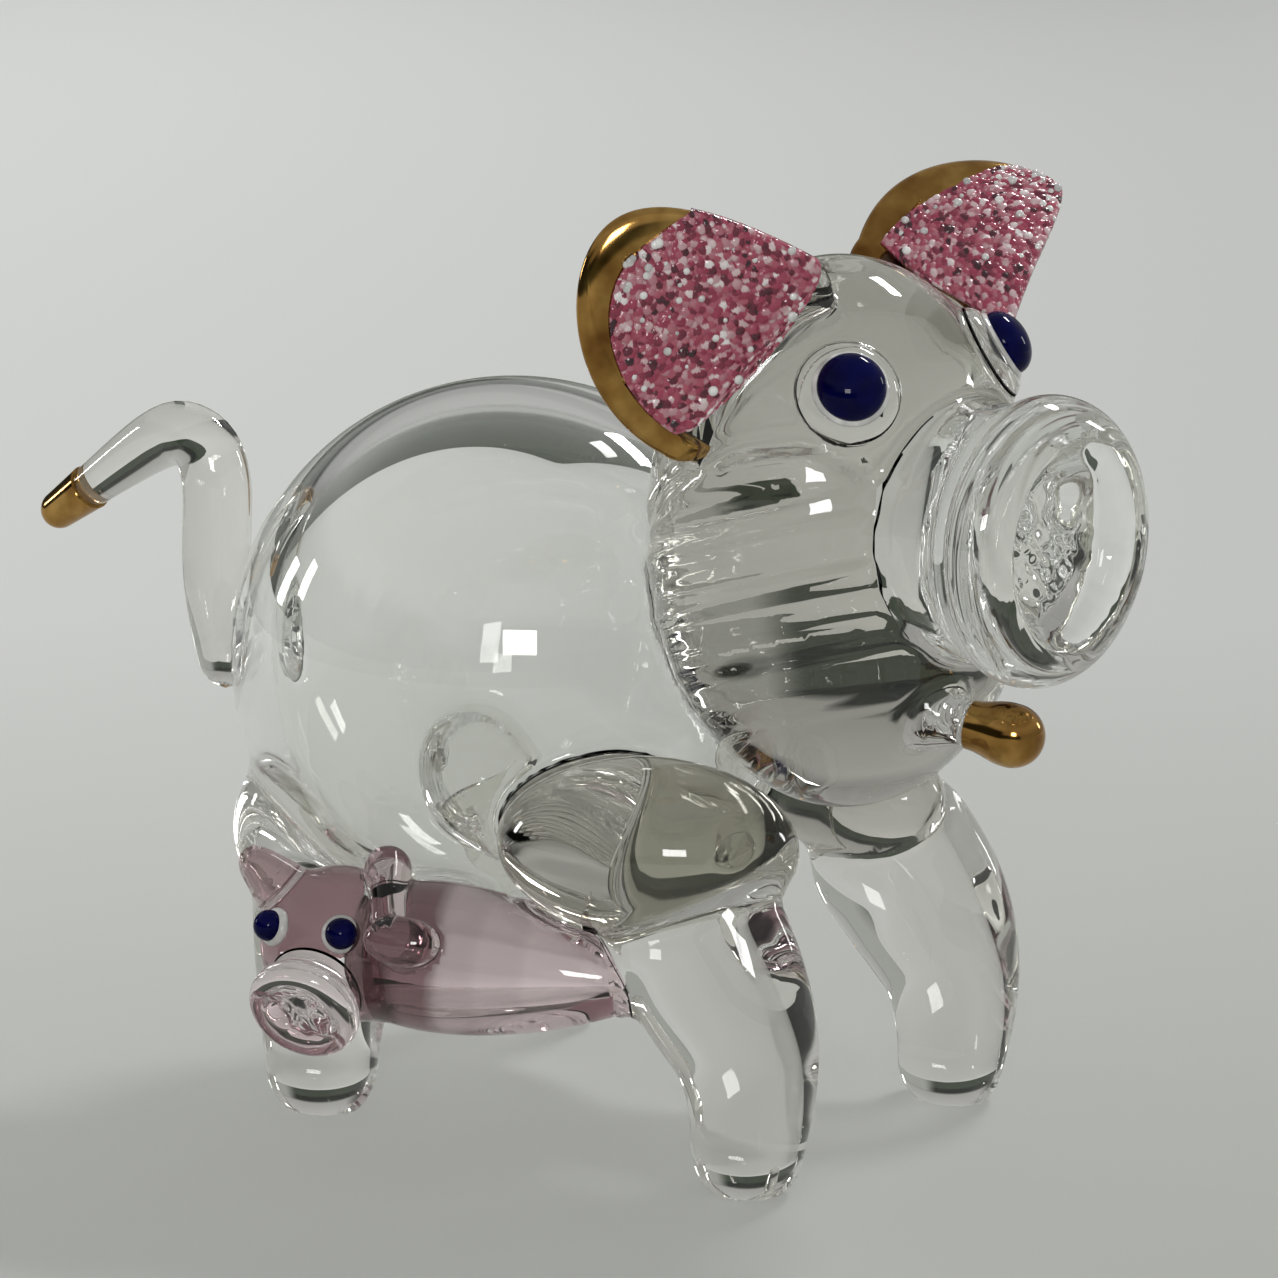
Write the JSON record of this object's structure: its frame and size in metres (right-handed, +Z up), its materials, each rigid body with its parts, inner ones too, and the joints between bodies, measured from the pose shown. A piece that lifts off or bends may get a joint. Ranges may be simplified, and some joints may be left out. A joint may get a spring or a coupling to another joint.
{
  "type": "glass pig figurine",
  "caption": "Small clear lampworked glass pig with a blown hollow body, dished snout, gilded frit ears and tail, and a rose glass piglet tucked between its right legs.",
  "frame": {"origin": "middle of the figurine's box, on the surface that its feet stand on", "axes": "+X the way the sow faces, +Y to the sow's left, +Z up"},
  "size_m": [0.0562, 0.0302, 0.0426],
  "materials": {
    "clear_glass": "fire-polished clear",
    "rose_glass": "fire-polished transparent rose",
    "cobalt_glass": "glossy opaque cobalt",
    "white_glass": "glossy opal white",
    "rose_frit": "granular fused frit",
    "gold_lustre": "bright fired gold lustre"
  },
  "bodies": {
    "root": {"body_bubble": "clear_glass", "head": "clear_glass", "snout": "clear_glass", "lower_jaw": "clear_glass", "lower_jaw_gold_tip": "gold_lustre", "right_eye_pad": "clear_glass", "right_eye_bead": "cobalt_glass", "right_ear": "clear_glass", "right_ear_gold": "gold_lustre", "right_ear_frit": "rose_frit", "left_eye_pad": "clear_glass", "left_eye_bead": "cobalt_glass", "left_ear": "clear_glass", "left_ear_gold": "gold_lustre", "left_ear_frit": "rose_frit", "tail": "clear_glass", "tail_gold_tip": "gold_lustre", "right_front_leg": "clear_glass", "right_hind_leg": "clear_glass", "left_front_leg": "clear_glass", "left_hind_leg": "clear_glass", "piglet_head": "rose_glass", "piglet_body": "rose_glass", "piglet_snout": "rose_glass", "piglet_right_eye_pad": "white_glass", "piglet_right_eye_bead": "cobalt_glass", "piglet_left_eye_pad": "white_glass", "piglet_left_eye_bead": "cobalt_glass", "piglet_right_ear": "rose_glass", "piglet_left_ear": "rose_glass"}
  },
  "joints": []
}
